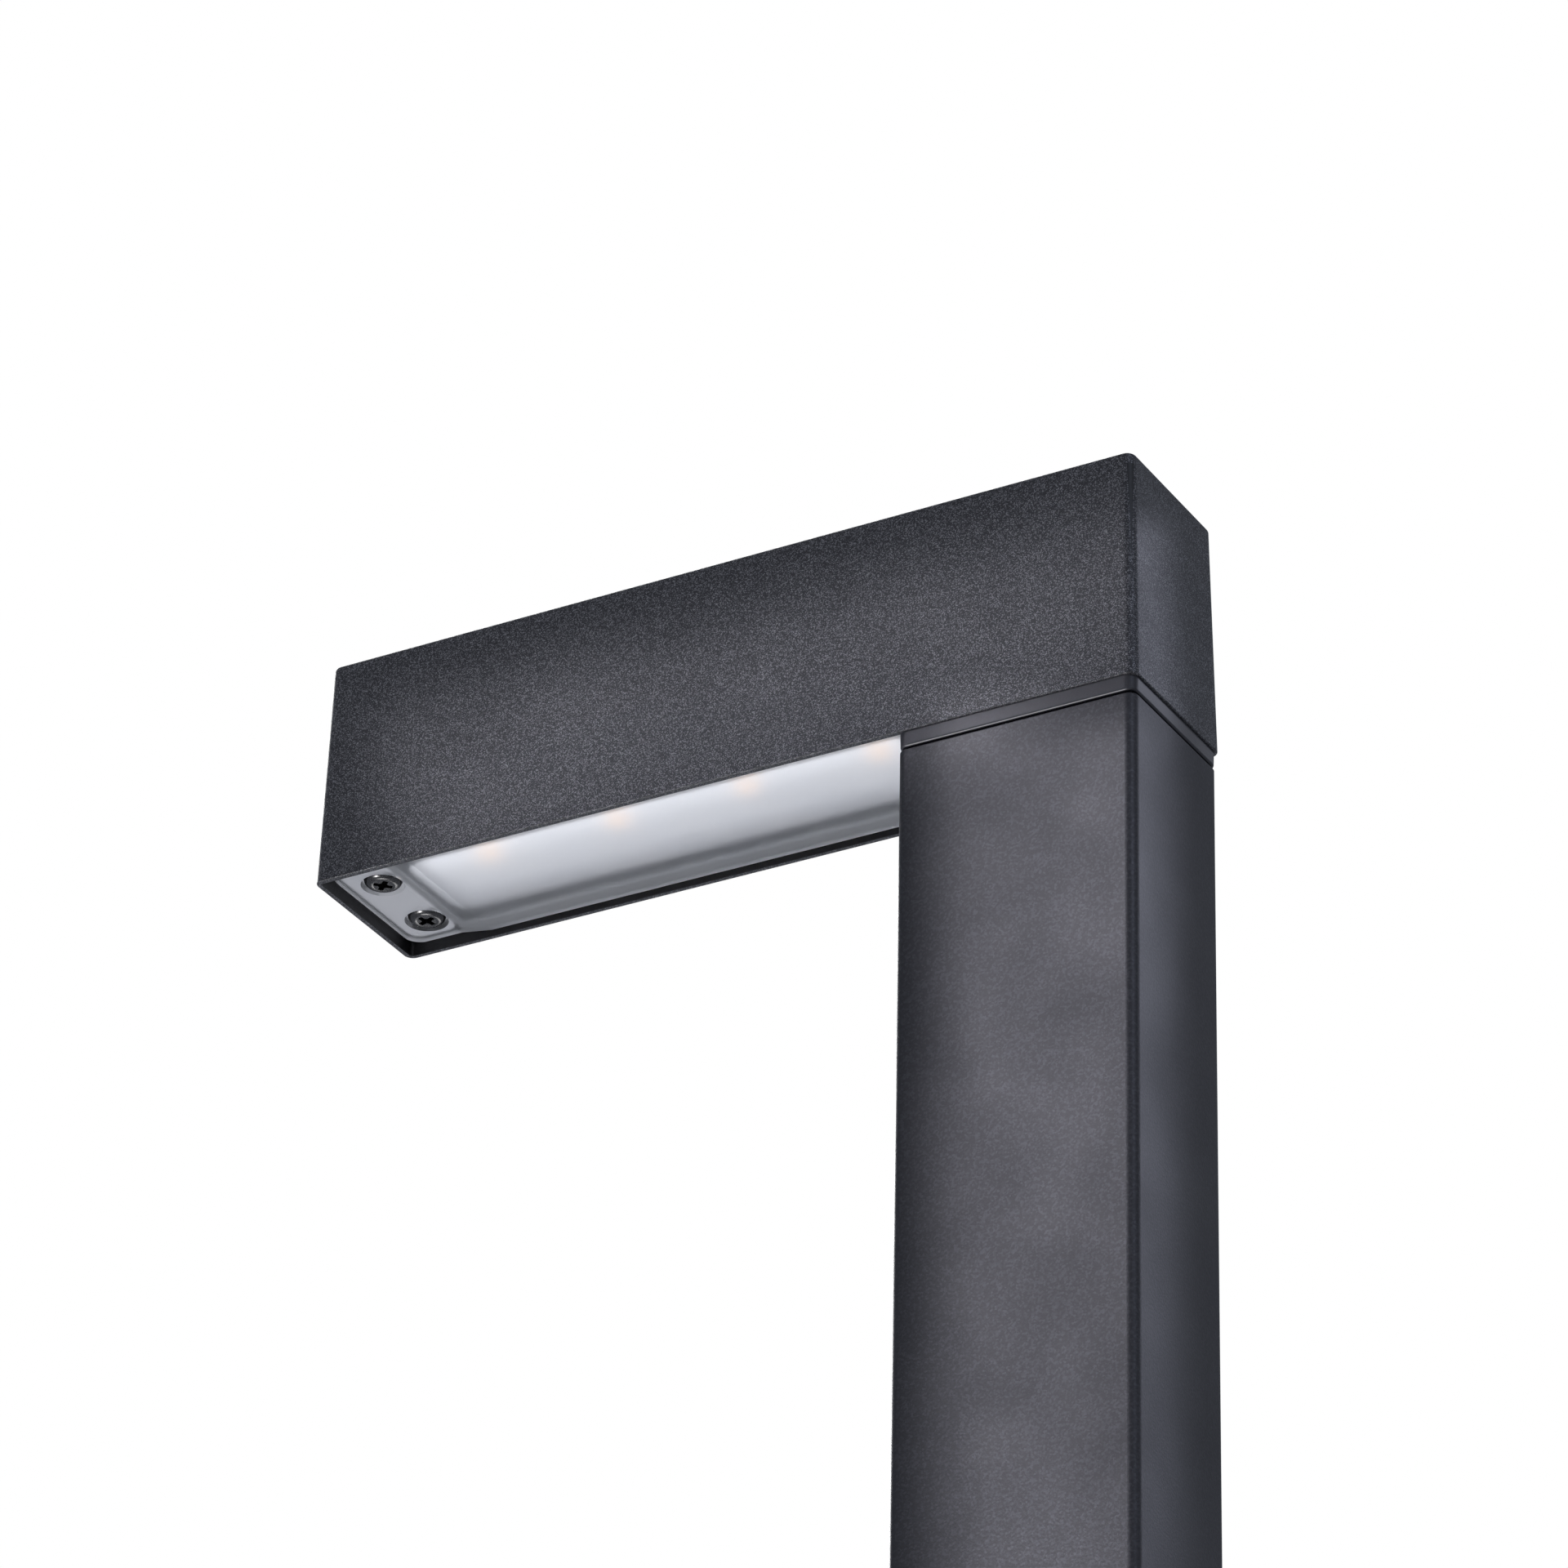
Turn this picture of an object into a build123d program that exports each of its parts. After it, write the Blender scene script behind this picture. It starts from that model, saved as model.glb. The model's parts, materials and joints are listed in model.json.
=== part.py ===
from build123d import *
import os
from math import pi, radians, tan

# Bollard light: a die-cast head that reaches out from the top of a rectangular post, on a ground flange.
# Millimetres. The origin is the centre of the ground bolts, on the ground. +Z is up, and the head
# reaches along -X. The whole light is symmetrical about the XZ plane, apart from its wiring gear.

# ---------------------------------------------------------------- overall
total_height = 800
head_length = 180
head_width = 36
head_height = 49
post_depth = 50
post_width = 35
post_wall = 2
corner_radius = 2
tube_corner = 1
reveal = 0.5
slip_gap = 0.3
overlap = 1
hair = 0.01

# ---------------------------------------------------------------- head casting
draft_angle = 1.15
top_edge_radius = 0.8
rim_edge_radius = 0.3
rim_wall = 1.2
ledge_depth = 5.6
chamber_wall = 3.8
chamber_corner = 2.5
roof = 3
shelf_length = 11.4
shelf_thickness = 4
bridge_length = 9
bridge_x = -19.5

# ---------------------------------------------------------------- lens, its seal and screws
lens_recess = 0.7
lens_gap = 0.9
lens_back = 4.6
lens_corner = 3.5
lens_edge_radius = 0.4
lens_end_x = -20.5
pad_recess = 1.8
pad_length = 11.5
ramp_length = 7
lens_screw_inset = 10
lens_screw_spacing = 16.4
lens_screw_seat = 3.6
lens_screw_turns = (48, 72)
cushion_inset = 0.6
cushion_length = 10.8
cushion_corner = 2.9

# ---------------------------------------------------------------- lamp: reflector, board, LEDs and plate
lamp_x = -82
window_length = 112
window_width = 22.4
window_corner = 4.5
reflector_wall = 1
reflector_floor = 0.9
led_opening = (6, 5)
led_opening_corner = 1
board_face = 12.3
board_length = 104
board_width = 19
board_corner = 3
board_thickness = 1.6
pad_thickness = 0.5
plate_thickness = 2
plate_length = 114
plate_width = 27
led_count = 4
led_pitch = 29
led_size = (3.5, 2.8, 0.7)
plate_screw_x = 54.8
plate_screw_y = 11.2

# ---------------------------------------------------------------- driver
driver_x = -84
driver_length = 86
driver_width = 25
driver_height = 17
driver_wall = 1.2
driver_lid = 2
driver_tab_length = 7
driver_tab_width = 12
driver_tab_thickness = 1.5
driver_standoff = 1.5
driver_standoff_spacing = 50
driver_terminal_end = 9
terminal_size = (7, 18.6, 9)
driver_corner = 2
transformer_core = (18, 16)
transformer_height = 11
transformer_yoke = 3
transformer_leg = (12.6, 11.2)
transformer_winding_radius = 8.5
capacitor_radius = 4
capacitor_height = 10
capacitor_edge_radius = 0.6
capacitor_spots = ((-28, -5), (-28, 5), (-17, 0))
core_level = 28.3
led_lead_level = 22.3
led_lead_x = -33
led_lead_spacing = 14

# ---------------------------------------------------------------- neck between head and post
collar_height = 3.2
collar_taper = 1.5
collar_edge_radius = 0.5
groove_height = 0.6
groove_depth = 1.2
spigot_length = 40
spigot_wall = 4.5
spigot_chamfer = 1
plug_start_x = -18.5
neck_bore_radius = 6
neck_screw_x = 10.8
neck_screw_y = 6.2
set_screw_radius = 2.5
set_screw_length = 6.4
set_screw_drops = (14, 28)
grommet_lip = 1.5
grommet_lip_reach = 2

# ---------------------------------------------------------------- ground flange
flange_length = 120
flange_width = 100
flange_thickness = 8
flange_corner = 8
flange_edge_radius = 1.5
anchor_spacing_x = 90
anchor_spacing_y = 70
anchor_hole_radius = 4.5
socket_height = 60
socket_wall = 4
cable_passage_radius = 10
base_screw_heights = (24, 50)

# ---------------------------------------------------------------- connection box in the foot of the post
bracket_thickness = 1.5
bracket_width = 28
bracket_bottom = 20
bracket_top = 150
bracket_corner = 2
bracket_screw_x = 8
bracket_screw_z = 36
box_length = 38
box_width = 20
box_bottom = 86
box_height = 60
box_wall = 2
box_corner = 2
box_inner_corner = 1
box_screw_x = 12
box_screw_inset = 12
lid_thickness = 2
lid_screw_inset = 1.5
seal_thickness = 1
block_size = (24, 9, 16)
pole_pitch = 8
gland_hex = 15
gland_hex_height = 4
gland_nut_radius = 7.5
gland_nut_height = 13
gland_thread_radius = 6
gland_locknut_height = 3
gland_inner_reach = 6
gland_tube = 9
gland_seal_radius = 4.6
gland_seal_length = 8
gland_mouth_radius = 3.6
gland_nut_lip = 2
gland_nut_dome = 1
gland_nut_face_radius = 5
gland_nut_shoulder_radius = 6.8
gland_nut_grips = 12
grip_radius = 0.6
lid_boss_radius = 2.4
clamp_radius = 1.8
clamp_depth = 3
clamp_pitch = 9
clamp_sink = 0.5
clamp_screw_radius = 1.7
clamp_screw_length = 2.4
clamp_slot = (1, 0.6)

# ---------------------------------------------------------------- fasteners
m4_thread = 2
m4_hole = 2.05
m4_clearance = 2.25
m4_depth = 8
m4_head = 3.8
m4_head_depth = 2.6
m4_drive = 4.2
m3_thread = 1.5
m3_hole = 1.55
m3_clearance = 1.7
m3_head = 2.8
m3_head_depth = 2
m3_drive = 3
m25_thread = 1.25
m25_hole = 1.3
m25_clearance = 1.45
m25_depth = 6
m25_head = 2.25
m25_head_depth = 1.6
m25_drive = 2.4
thread_gap = 0.05
lens_screw_bore = 4.4
lens_screw_head = 3.85
lens_screw_head_depth = 1.9
lens_screw_drive = 4.2
lens_screw_length = 10
lens_screw_depth = 14.5
lens_boss_radius = 4
lens_boss_height = 10
plate_boss_radius = 3.2
neck_boss_radius = 3.8
earth_screw_x = 15
earth_seat = 34
earth_depth = 8
earth_screw_head = 3.2
tag_thickness = 0.8
tag_radius = 3.4
bracket_screw_length = 5
# Shares of a head's radius, depth or drive that shape every pan-head screw.
pan_rim = 0.35
pan_crown = 0.5
pan_bulge = (0.89, 0.8)
drive_slot = 0.26
drive_eye = 0.24
drive_depth = 0.8
drive_taper = 8
tip_chamfer = 0.3
socket_size = 0.55
socket_depth = 0.45

# ---------------------------------------------------------------- wiring
lead_radius = 3.25
core_radius = 1.1
led_wire_radius = 0.8
sheath_end = 20
core_offset = 0.7
core_spread = 1.2
wire_hole = 1
wire_play = 0.2
bend_share = 0.45
box_core_gather = 0.3
box_core_straight = 4
box_core_bite = 3
lead_route = ((0, 225), (3, 300), (5, 390), (5, 490), (3, 590), (0, 670))

# ---------------------------------------------------------------- derived places
rim_z = total_height - head_height
collar_z = rim_z - collar_height
post_top_z = collar_z - groove_height
head_back_x = post_depth / 2 + reveal
head_x = head_back_x - head_length / 2
head_front_x = head_back_x - head_length
recess_length = head_length - 2 * rim_wall
recess_width = head_width - 2 * rim_wall
recess_corner = corner_radius - rim_wall
chamber_length = head_length - 2 * chamber_wall
chamber_width = head_width - 2 * chamber_wall
roof_z = rim_z + head_height - roof
ledge_z = rim_z + ledge_depth
tube_depth = post_depth - 2 * post_wall
tube_width = post_width - 2 * post_wall
spigot_depth = tube_depth - 2 * slip_gap
spigot_width = tube_width - 2 * slip_gap
plate_face = board_face + board_thickness + pad_thickness
driver_floor = plate_face + plate_thickness
lens_screw_x = head_front_x + lens_screw_inset
lens_screw_spots = [(lens_screw_x, side * lens_screw_spacing / 2) for side in (-1, 1)]
lens_front_x = head_front_x + rim_wall + lens_gap
lens_length = lens_end_x - lens_front_x
lens_width = recess_width - 2 * lens_gap
cushion_x = lens_front_x + cushion_inset + cushion_length / 2
cushion_width = lens_width - 2 * cushion_inset
gasket_start_x = cushion_x + cushion_length / 2 + slip_gap
plug_end_x = head_back_x - rim_wall - slip_gap
plug_length = plug_end_x - plug_start_x
plug_x = (plug_start_x + plug_end_x) / 2
plate_screw_spots = [(lamp_x + i * plate_screw_x, j * plate_screw_y) for i in (-1, 1) for j in (-1, 1)]
neck_screw_spots = [(i * neck_screw_x, j * neck_screw_y) for i in (-1, 1) for j in (-1, 1)]
driver_screw_reach = driver_length / 2 + driver_tab_length / 2
driver_screw_spots = [(driver_x + side * driver_screw_reach, 0) for side in (-1, 1)]
socket_bore_depth = spigot_depth - 2 * socket_wall
socket_bore_width = spigot_width - 2 * socket_wall
bracket_y = socket_bore_width / 2 - bracket_thickness
box_y = bracket_y - box_width / 2
box_front_y = bracket_y - box_width
box_z = box_bottom + box_height / 2
box_top = box_bottom + box_height
neck_floor = lens_back + rim_z - post_top_z
set_screw_x = post_depth / 2 - slip_gap - set_screw_length
frame_length = window_length + 2 * reflector_wall
frame_width = window_width + 2 * reflector_wall
gasket_window_length = plate_length + 2 * slip_gap
neck_window_start = bridge_x + bridge_length / 2
neck_window_end = head_back_x - chamber_wall
neck_window_length = neck_window_end - neck_window_start
neck_window_x = (neck_window_start + neck_window_end) / 2
core_rows = (-core_spread, core_spread)
led_wire_rows = (-led_lead_spacing / 2, led_lead_spacing / 2)
led_wire_spots = [(led_lead_x, y) for y in led_wire_rows]
bracket_screw_spots = [(side * bracket_screw_x, bracket_screw_z) for side in (-1, 1)]
box_screw_spots = ((-box_screw_x, box_bottom + box_screw_inset), (box_screw_x, box_top - box_screw_inset))
lid_reach = box_length / 2 - box_wall - lid_screw_inset
lid_rise = box_height / 2 - box_wall - lid_screw_inset
lid_screw_spots = [(i * lid_reach, box_z + j * lid_rise) for i in (-1, 1) for j in (-1, 1)]
pole_places = (-pole_pitch, 0, pole_pitch)
clamp_spots = [(x, box_z + side * clamp_pitch / 2) for x in pole_places for side in (-1, 1)]
UPWARD = (Align.CENTER, Align.CENTER, Align.MIN)
DOWNWARD = (Align.CENTER, Align.CENTER, Align.MAX)

os.makedirs("parts", exist_ok=True)


def head_plane(height):
    """Horizontal plane at a height above the head's rim."""
    return Plane.XY.offset(rim_z + height)


def publish(name, part):
    """Labels a finished piece and writes it as its own STEP file."""
    part.label = name
    export_step(part, f"parts/{name}.step")


def seat(x, y, z, out, turn=0):
    """Plane of a screw's seat: its normal points out, where the head stands, and turn rotates the drive."""
    base = Plane(origin=(x, y, z), z_dir=out)
    return base.rotated((0, 0, turn))


def pan_screw(thread_radius, length, head_radius, head_depth, drive):
    """Pan-head screw with a cross recess: seat at z = 0, head above it and shank below."""
    rim = head_depth * pan_rim
    crown = head_radius * pan_crown
    bulge = (head_radius * pan_bulge[0], head_depth * pan_bulge[1])
    with BuildPart() as screw:
        with BuildSketch(Plane.XZ):
            with BuildLine():
                Polyline((crown, head_depth), (0, head_depth), (0, -length), (thread_radius, -length),
                         (thread_radius, 0), (head_radius, 0), (head_radius, rim))
                ThreePointArc((head_radius, rim), bulge, (crown, head_depth))
            make_face()
        revolve(axis=Axis.Z)
        with BuildSketch(Plane.XY.offset(head_depth)):
            Rectangle(drive, drive * drive_slot)
            Rectangle(drive * drive_slot, drive)
            Circle(drive * drive_eye)
        extrude(amount=-head_depth * drive_depth, taper=drive_taper, mode=Mode.SUBTRACT)
        chamfer(screw.faces().sort_by(Axis.Z)[0].edges(), thread_radius * tip_chamfer)
    return screw.part


def set_screw(radius, length):
    """Socket set screw along +Z from its cup point at z = 0, with a hexagon socket in its outer end."""
    with BuildPart() as screw:
        Cylinder(radius, length, align=UPWARD)
        chamfer(screw.faces().sort_by(Axis.Z)[0].edges(), radius * tip_chamfer)
        with BuildSketch(Plane.XY.offset(length)):
            RegularPolygon(radius * socket_size, 6)
        extrude(amount=-length * socket_depth, mode=Mode.SUBTRACT)
    return screw.part


def gland_body():
    """Gland's fixed half: hexagon against the box wall at z = 0, thread and locknut inside, tube outside."""
    tube = gland_hex_height + gland_tube
    with BuildPart() as body:
        with BuildSketch(Plane.XY.offset(-gland_hex_height)):
            RegularPolygon(gland_hex / 2, 6, major_radius=False)
        extrude(amount=gland_hex_height)
        Cylinder(gland_thread_radius, tube, align=DOWNWARD)
        Cylinder(gland_thread_radius, gland_inner_reach, align=UPWARD)
        with BuildSketch(Plane.XY.offset(box_wall)):
            RegularPolygon(gland_hex / 2, 6, major_radius=False)
        extrude(amount=gland_locknut_height)
        with Locations((0, 0, -tube)):
            Cylinder(gland_seal_radius, tube + gland_inner_reach, align=UPWARD, mode=Mode.SUBTRACT)
    return body.part


def gland_nut():
    """Domed nut that turns over the gland's tube and squeezes its seal."""
    top = -gland_hex_height - slip_gap
    bottom = top - gland_nut_height
    inner = gland_thread_radius + thread_gap
    shoulder = bottom + gland_nut_lip
    with BuildPart() as nut:
        with BuildSketch(Plane.XZ):
            with BuildLine():
                Polyline((inner, top), (gland_nut_radius, top),
                         (gland_nut_radius, shoulder + gland_nut_dome))
                ThreePointArc((gland_nut_radius, shoulder + gland_nut_dome),
                              (gland_nut_shoulder_radius, bottom + gland_nut_dome),
                              (gland_nut_face_radius, bottom))
                Polyline((gland_nut_face_radius, bottom), (gland_mouth_radius, bottom),
                         (gland_mouth_radius, shoulder), (inner, shoulder), (inner, top))
            make_face()
        revolve(axis=Axis.Z)
        with PolarLocations(gland_nut_radius, gland_nut_grips):
            with Locations((0, 0, top)):
                Cylinder(grip_radius, gland_nut_height / 2, align=DOWNWARD, mode=Mode.SUBTRACT)
    return nut.part


def gland_seal():
    """Rubber sleeve in the gland's tube, bored for the lead."""
    with BuildPart() as seal:
        with Locations((0, 0, -gland_hex_height - gland_tube)):
            Cylinder(gland_seal_radius - thread_gap, gland_seal_length, align=UPWARD)
            Cylinder(lead_radius + thread_gap, gland_seal_length, align=UPWARD, mode=Mode.SUBTRACT)
    return seal.part


def cord(route, radius):
    """Round cord along straight runs joined by tangent arcs as large as the runs allow."""
    points = [Vector(*point) for point in route]
    bends = []
    for before, corner, after in zip(points, points[1:], points[2:]):
        turn = (corner - before).get_angle(after - corner)
        shorter = min((corner - before).length, (after - corner).length)
        bends.append(bend_share * shorter / tan(radians(turn / 2)))
    with BuildPart() as tube:
        with BuildLine() as path:
            FilletPolyline(*points, radius=bends)
        with BuildSketch(Plane(origin=points[0], z_dir=points[1] - points[0])):
            Circle(radius)
        sweep(path=path.line)
    length = sum(edge.length for edge in path.edges())
    solidity = tube.part.volume / (pi * radius**2 * length)
    radii = [round(bend, 1) for bend in bends]
    print(f"cord of {2 * radius:.1f} mm: {length:.0f} mm long, bend radii {radii}, solidity {solidity:.3f}")
    return tube.part


# ---------------------------------------------------------------- head casting
with BuildPart() as head_housing:
    with BuildSketch(head_plane(0)):
        with Locations((head_x, 0)):
            Rectangle(head_length, head_width)
    extrude(amount=head_height, taper=draft_angle)
    fillet(head_housing.edges().group_by(Axis.Z)[1], corner_radius)
    fillet(head_housing.faces().sort_by(Axis.Z)[-1].edges(), top_edge_radius)
    fillet(head_housing.faces().sort_by(Axis.Z)[0].edges(), rim_edge_radius)
    # The open underside takes the lens and the neck, and the chamber above it the lamp and driver.
    with BuildSketch(head_plane(0)):
        with Locations((head_x, 0)):
            RectangleRounded(recess_length, recess_width, recess_corner)
    extrude(amount=ledge_depth, mode=Mode.SUBTRACT)
    with BuildSketch(head_plane(ledge_depth)):
        with Locations((head_x, 0)):
            RectangleRounded(chamber_length, chamber_width, chamber_corner)
    extrude(amount=roof_z - ledge_z, taper=draft_angle, mode=Mode.SUBTRACT)
    # A shelf under the lens screws, and a bridge between the lamp and the neck.
    with BuildSketch(head_plane(ledge_depth)):
        with Locations((head_front_x + chamber_wall - overlap + (shelf_length + overlap) / 2, 0)):
            Rectangle(shelf_length + overlap, chamber_width + 2 * overlap)
        with Locations((bridge_x, 0)):
            Rectangle(bridge_length, chamber_width + 2 * overlap)
    extrude(amount=shelf_thickness)
    with BuildSketch(head_plane(ledge_depth)):
        with Locations(*lens_screw_spots):
            Circle(lens_boss_radius)
    extrude(amount=lens_boss_height)
    with BuildSketch(head_plane(driver_floor)):
        with Locations(*plate_screw_spots):
            Circle(plate_boss_radius)
    extrude(amount=head_height - roof - driver_floor + overlap)
    with BuildSketch(head_plane(lens_back)):
        with Locations(*neck_screw_spots):
            Circle(neck_boss_radius)
    extrude(amount=head_height - roof - lens_back + overlap)
    with BuildSketch(head_plane(earth_seat)):
        with Locations((earth_screw_x, 0)):
            Circle(neck_boss_radius)
    extrude(amount=head_height - roof - earth_seat + overlap)
    # Threaded holes for every screw that the casting holds.
    with Locations(*[(x, y, rim_z) for x, y in lens_screw_spots]):
        Cylinder(m4_hole, lens_screw_depth, align=UPWARD, mode=Mode.SUBTRACT)
    with Locations(*[(x, y, rim_z) for x, y in plate_screw_spots]):
        Cylinder(m25_hole, driver_floor + m25_depth, align=UPWARD, mode=Mode.SUBTRACT)
    with Locations(*[(x, y, rim_z) for x, y in neck_screw_spots]):
        Cylinder(m4_hole, lens_back + m4_depth, align=UPWARD, mode=Mode.SUBTRACT)
    with Locations((earth_screw_x, 0, rim_z + earth_seat)):
        Cylinder(m4_hole, earth_depth, align=UPWARD, mode=Mode.SUBTRACT)
publish("head_housing", head_housing.part)

# ---------------------------------------------------------------- lens
with BuildPart() as lens:
    with BuildSketch(head_plane(lens_recess)) as lens_outline:
        with Locations((lens_front_x + lens_length / 2, 0)):
            Rectangle(lens_length, lens_width)
        fillet(lens_outline.vertices().group_by(Axis.X)[0], lens_corner)
    extrude(amount=lens_back - lens_recess)
    # The screw pad at the free end stands deeper in the head, and a short ramp leads down to the rest.
    pad_end_x = lens_front_x + pad_length
    with BuildSketch(Plane.XZ):
        with BuildLine():
            Polyline((lens_front_x - overlap, rim_z), (lens_front_x - overlap, rim_z + pad_recess),
                     (pad_end_x, rim_z + pad_recess), (pad_end_x + ramp_length, rim_z + lens_recess),
                     (pad_end_x + ramp_length, rim_z), close=True)
        make_face()
    extrude(amount=head_width / 2, both=True, mode=Mode.SUBTRACT)
    fillet(lens.edges().filter_by(lambda edge: edge.center().Z < rim_z + pad_recess + hair)
           .filter_by(Axis.Y, reverse=True), lens_edge_radius)
    with Locations(*[(x, y, rim_z) for x, y in lens_screw_spots]):
        Cylinder(lens_screw_bore, lens_screw_seat, align=UPWARD, mode=Mode.SUBTRACT)
        Cylinder(m4_clearance, lens_back, align=UPWARD, mode=Mode.SUBTRACT)
publish("lens", lens.part)

with BuildPart() as lens_gasket:
    with BuildSketch(head_plane(lens_back)):
        with Locations(((gasket_start_x + lens_end_x) / 2, 0)):
            Rectangle(lens_end_x - gasket_start_x, lens_width)
        with Locations((lamp_x, 0)):
            Rectangle(gasket_window_length, chamber_width, mode=Mode.SUBTRACT)
    extrude(amount=ledge_depth - lens_back)
publish("lens_gasket", lens_gasket.part)

# A cushion closes the seal at the free end and spreads the load of the two lens screws.
with BuildPart() as lens_cushion:
    with BuildSketch(head_plane(lens_back)):
        with Locations((cushion_x, 0)):
            RectangleRounded(cushion_length, cushion_width, cushion_corner)
        with Locations(*lens_screw_spots):
            Circle(m4_clearance, mode=Mode.SUBTRACT)
    extrude(amount=ledge_depth - lens_back)
publish("lens_cushion", lens_cushion.part)

lens_screw = pan_screw(m4_thread, lens_screw_length, lens_screw_head, lens_screw_head_depth,
                       lens_screw_drive)
with BuildPart() as lens_screws:
    with Locations(*[seat(x, y, rim_z + lens_screw_seat, (0, 0, -1), turn)
                     for (x, y), turn in zip(lens_screw_spots, lens_screw_turns)]):
        add(lens_screw)
publish("lens_screws", lens_screws.part)

# ---------------------------------------------------------------- lamp
with BuildPart() as reflector:
    with BuildSketch(head_plane(ledge_depth)):
        with Locations((lamp_x, 0)):
            RectangleRounded(frame_length, frame_width, window_corner + reflector_wall)
    extrude(amount=board_face - ledge_depth)
    with BuildSketch(head_plane(ledge_depth)):
        with Locations((lamp_x, 0)):
            RectangleRounded(window_length, window_width, window_corner)
    extrude(amount=board_face - ledge_depth - reflector_floor, mode=Mode.SUBTRACT)
    with BuildSketch(head_plane(ledge_depth)):
        with Locations((lamp_x, 0)):
            with GridLocations(led_pitch, 1, led_count, 1):
                RectangleRounded(*led_opening, led_opening_corner)
    extrude(amount=board_face, mode=Mode.SUBTRACT)
publish("reflector", reflector.part)

with BuildPart() as led_board:
    with BuildSketch(head_plane(board_face)):
        with Locations((lamp_x, 0)):
            RectangleRounded(board_length, board_width, board_corner)
        with Locations(*led_wire_spots):
            Circle(wire_hole, mode=Mode.SUBTRACT)
    extrude(amount=board_thickness)
publish("led_board", led_board.part)

with BuildPart() as leds:
    with Locations(head_plane(board_face)):
        with Locations((lamp_x, 0)):
            with GridLocations(led_pitch, 1, led_count, 1):
                Box(*led_size, align=(Align.CENTER, Align.CENTER, Align.MAX))
publish("leds", leds.part)

with BuildPart() as thermal_pad:
    with BuildSketch(head_plane(board_face + board_thickness)):
        with Locations((lamp_x, 0)):
            RectangleRounded(board_length, board_width, board_corner)
        with Locations(*led_wire_spots):
            Circle(wire_hole, mode=Mode.SUBTRACT)
    extrude(amount=pad_thickness)
publish("thermal_pad", thermal_pad.part)

with BuildPart() as carrier_plate:
    with BuildSketch(head_plane(plate_face)):
        with Locations((lamp_x, 0)):
            Rectangle(plate_length, plate_width)
        with Locations(*plate_screw_spots):
            Circle(m25_clearance, mode=Mode.SUBTRACT)
        with Locations(*driver_screw_spots):
            Circle(m3_hole, mode=Mode.SUBTRACT)
        with Locations(*led_wire_spots):
            Circle(wire_hole, mode=Mode.SUBTRACT)
    extrude(amount=plate_thickness)
publish("carrier_plate", carrier_plate.part)

plate_screw = pan_screw(m25_thread, plate_thickness + m25_depth - slip_gap, m25_head, m25_head_depth,
                        m25_drive)
with BuildPart() as plate_screws:
    with Locations(*[seat(x, y, rim_z + plate_face, (0, 0, -1)) for x, y in plate_screw_spots]):
        add(plate_screw)
publish("plate_screws", plate_screws.part)

# ---------------------------------------------------------------- driver
inner_length = driver_length - 2 * driver_wall
inner_width = driver_width - 2 * driver_wall
driver_top = driver_floor + driver_height
driver_end_x = driver_x + driver_length / 2
with BuildPart() as driver_case:
    with BuildSketch(head_plane(driver_floor)):
        with Locations((driver_x, 0)):
            RectangleRounded(driver_length, driver_width, driver_corner)
    extrude(amount=driver_height)
    with BuildSketch(head_plane(driver_floor)):
        with Locations((driver_x, 0)):
            Rectangle(driver_length + 2 * driver_tab_length, driver_tab_width)
    extrude(amount=driver_tab_thickness)
    with BuildSketch(head_plane(driver_floor + driver_wall)):
        with Locations((driver_x, 0)):
            RectangleRounded(inner_length, inner_width, driver_corner - driver_wall / 2)
    extrude(amount=driver_height, mode=Mode.SUBTRACT)
    with BuildSketch(head_plane(driver_floor + driver_wall)):
        with Locations((driver_x, 0)):
            with GridLocations(driver_standoff_spacing, 1, 2, 1):
                Rectangle(driver_wall, inner_width)
    extrude(amount=driver_standoff)
    with Locations(*[(x, y, rim_z + driver_floor) for x, y in driver_screw_spots]):
        Cylinder(m3_clearance, driver_tab_thickness, align=UPWARD, mode=Mode.SUBTRACT)
    with BuildSketch(Plane.YZ.offset(driver_end_x + overlap)):
        with Locations(*[(y, rim_z + core_level) for y in core_rows]):
            Circle(core_radius + wire_play)
        with Locations(*[(y, rim_z + led_lead_level) for y in led_wire_rows]):
            Circle(led_wire_radius + wire_play)
    extrude(amount=-driver_wall - 2 * overlap, mode=Mode.SUBTRACT)
publish("driver_case", driver_case.part)

with BuildPart() as driver_cover:
    with BuildSketch(head_plane(driver_top)):
        with Locations((driver_x, 0)):
            RectangleRounded(driver_length, driver_width, driver_corner)
    extrude(amount=driver_lid)
    with BuildSketch(head_plane(driver_top)):
        with Locations((driver_x, 0)):
            RectangleRounded(inner_length - slip_gap, inner_width - slip_gap, driver_corner)
            offset(amount=-driver_wall, mode=Mode.SUBTRACT)
    extrude(amount=-driver_lid)
publish("driver_cover", driver_cover.part)

driver_board_z = driver_floor + driver_wall + driver_standoff
component_z = driver_board_z + board_thickness
with BuildPart() as driver_board:
    with BuildSketch(head_plane(driver_board_z)):
        with Locations((driver_x, 0)):
            RectangleRounded(inner_length - 2 * slip_gap, inner_width - 2 * slip_gap, driver_corner)
    extrude(amount=board_thickness)
publish("driver_board", driver_board.part)

with BuildPart() as driver_transformer:
    with BuildSketch(head_plane(component_z)):
        with Locations((driver_x, 0)):
            Rectangle(*transformer_core)
    extrude(amount=transformer_height)
    with BuildSketch(head_plane(component_z + transformer_yoke)):
        with Locations((driver_x, 0)):
            Rectangle(transformer_core[0] + overlap, transformer_core[1] + overlap)
            Rectangle(*transformer_leg, mode=Mode.SUBTRACT)
    extrude(amount=transformer_height - 2 * transformer_yoke, mode=Mode.SUBTRACT)
    with Locations((driver_x, 0, rim_z + component_z + transformer_yoke)):
        Cylinder(transformer_winding_radius, transformer_height - 2 * transformer_yoke, align=UPWARD)
publish("driver_transformer", driver_transformer.part)

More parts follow.
